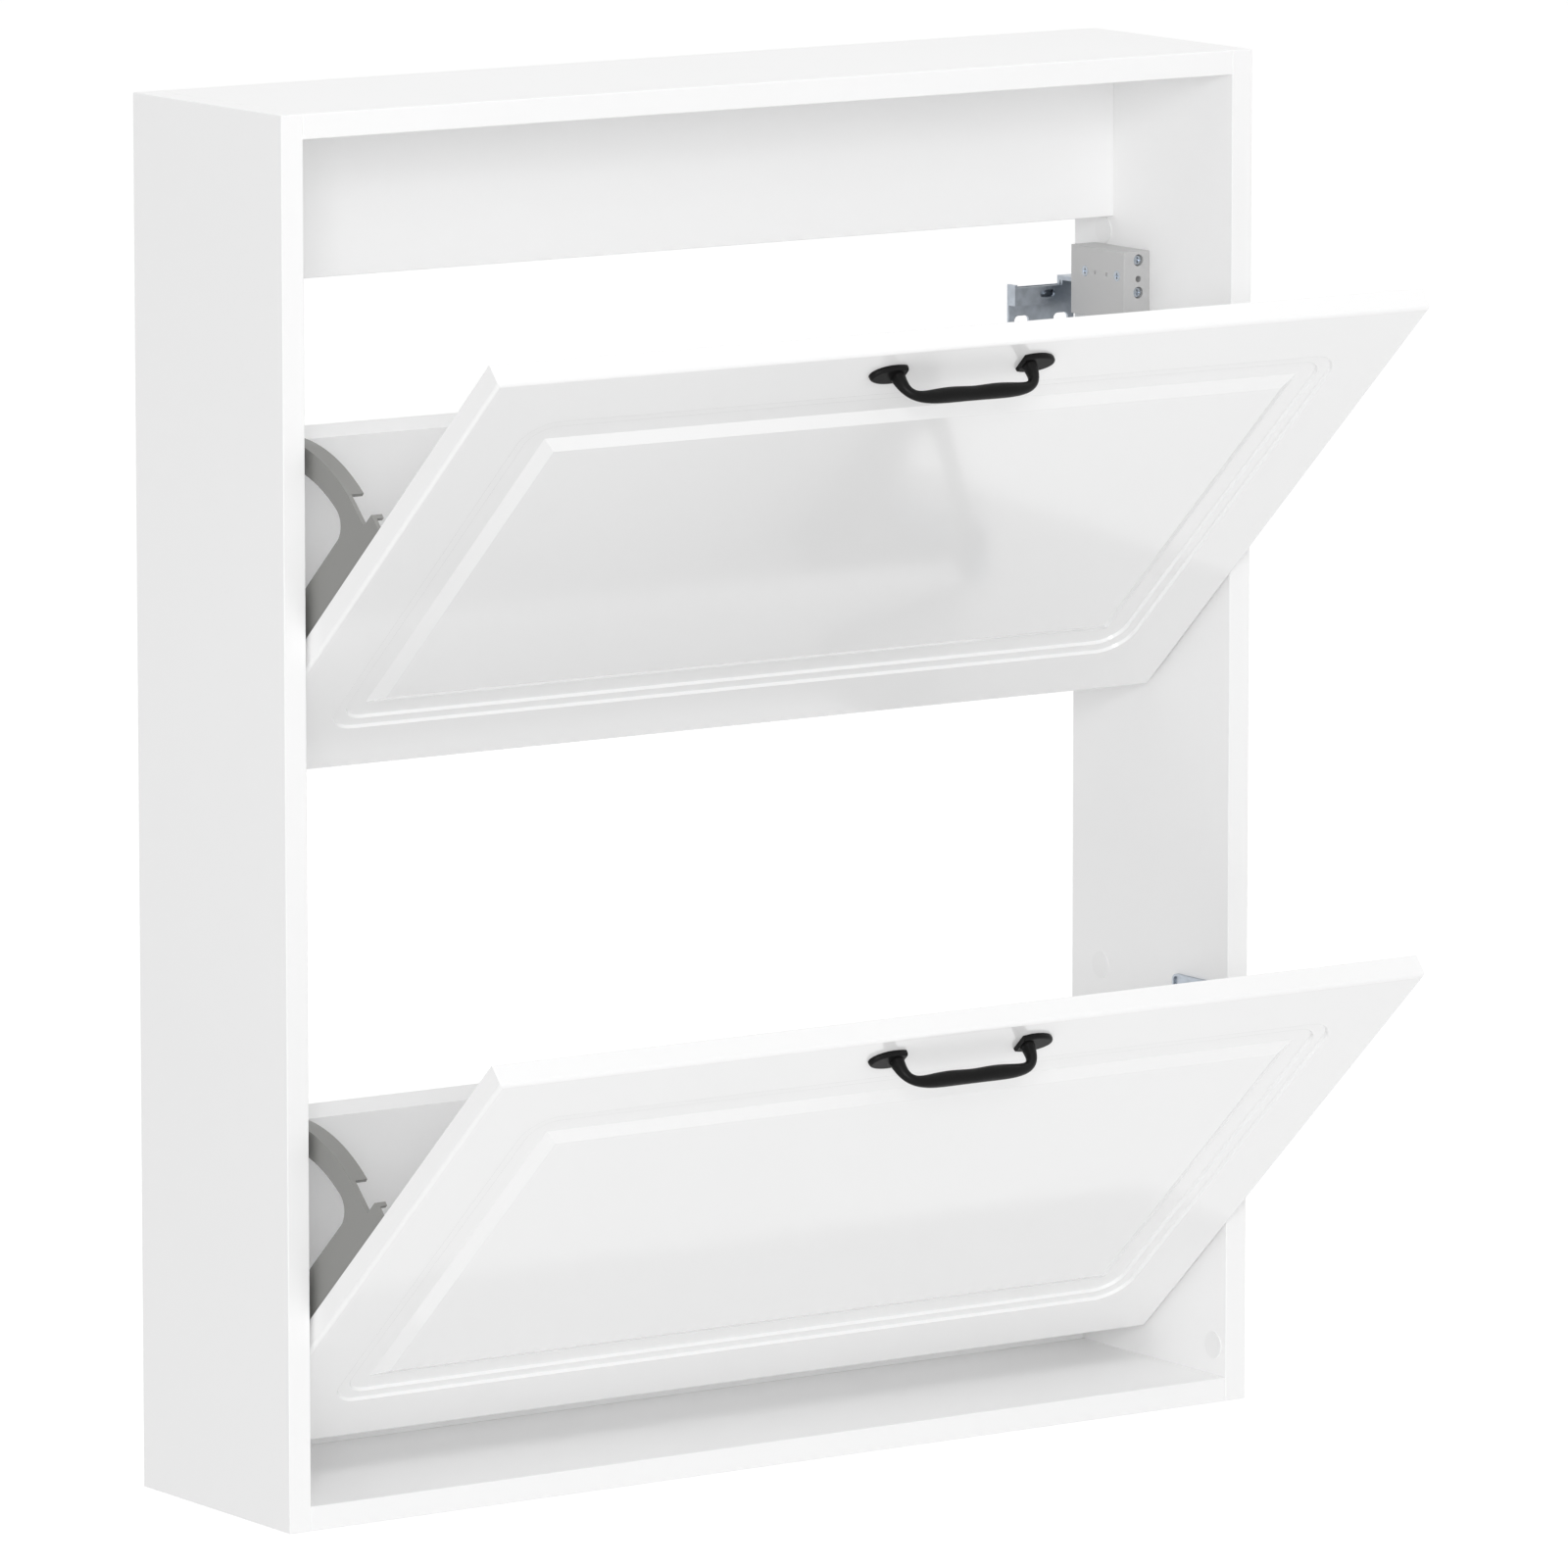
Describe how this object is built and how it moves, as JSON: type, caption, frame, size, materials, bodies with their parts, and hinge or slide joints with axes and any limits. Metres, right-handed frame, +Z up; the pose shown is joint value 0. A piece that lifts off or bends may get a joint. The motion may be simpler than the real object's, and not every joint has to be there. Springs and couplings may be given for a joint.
{
  "type": "shoe cabinet",
  "caption": "Wall-hung shoe cabinet with stacked tip-out flaps on pivoting side frames, routed fronts, bow handles, sloping shoe bins and adjustable hangers with wall plates.",
  "frame": {"origin": "midway between the wall plates' screw slots, on the wall plane", "axes": "+X to the right seen from the room, +Y to the wall, +Z up"},
  "size_m": [0.75, 0.3966, 0.9],
  "materials": {
    "white_board": "white faced engineered wood, satin gloss",
    "gloss_front": "high-gloss white foil over routed fibreboard",
    "frame_plastic": "grey moulded plastic",
    "hanger_plastic": "light grey moulded plastic",
    "white_plastic": "white plastic",
    "galvanised_steel": "galvanised pressed steel",
    "zinc_steel": "bright zinc plated steel",
    "black_metal": "matt black lacquer",
    "rubber": "black rubber",
    "dowel_wood": "beech dowel"
  },
  "bodies": {
    "carcass": {"right_side_panel": "white_board", "left_side_panel": "white_board", "top_panel": "white_board", "bottom_panel": "white_board", "upper_back_rail": "white_board", "lower_back_rail": "white_board", "board_dowels": "dowel_wood", "cam_bolts": "zinc_steel", "cam_locks": "zinc_steel", "cover_caps": "white_plastic", "hanger_housing_right": "hanger_plastic", "hanger_housing_left": "hanger_plastic", "hanger_hook_right": "galvanised_steel", "hanger_hook_left": "galvanised_steel", "wall_plate_right": "galvanised_steel", "wall_plate_left": "galvanised_steel", "hanger_adjusting_screws": "zinc_steel", "hanger_fixing_screws": "zinc_steel", "lower_pivot_bracket_right": "galvanised_steel", "lower_pivot_bracket_left": "galvanised_steel", "upper_pivot_bracket_right": "galvanised_steel", "upper_pivot_bracket_left": "galvanised_steel", "pivot_pins": "zinc_steel", "pivot_caps": "frame_plastic", "stop_pins": "zinc_steel", "stop_buffers": "rubber", "bracket_screws": "zinc_steel"},
    "upper_flap": {"upper_flap_panel": "gloss_front", "upper_handle": "black_metal", "upper_handle_screws": "zinc_steel", "upper_side_frame_right": "frame_plastic", "upper_side_frame_left": "frame_plastic", "upper_rear_board": "white_board", "upper_floor_board": "white_board", "upper_frame_screws": "zinc_steel", "upper_board_screws": "zinc_steel"},
    "lower_flap": {"lower_flap_panel": "gloss_front", "lower_handle": "black_metal", "lower_handle_screws": "zinc_steel", "lower_side_frame_right": "frame_plastic", "lower_side_frame_left": "frame_plastic", "lower_rear_board": "white_board", "lower_floor_board": "white_board", "lower_frame_screws": "zinc_steel", "lower_board_screws": "zinc_steel"}
  },
  "joints": [
    {"name": "upper_flap_hinge", "type": "hinge", "parent": "carcass", "child": "upper_flap", "pos_m": [0, -0.14, -0.1405], "axis": [-1, 0, 0], "range_deg": [0, 47.4]},
    {"name": "lower_flap_hinge", "type": "hinge", "parent": "carcass", "child": "lower_flap", "pos_m": [0, -0.14, -0.5745], "axis": [-1, 0, 0], "range_deg": [0, 47.4]}
  ]
}
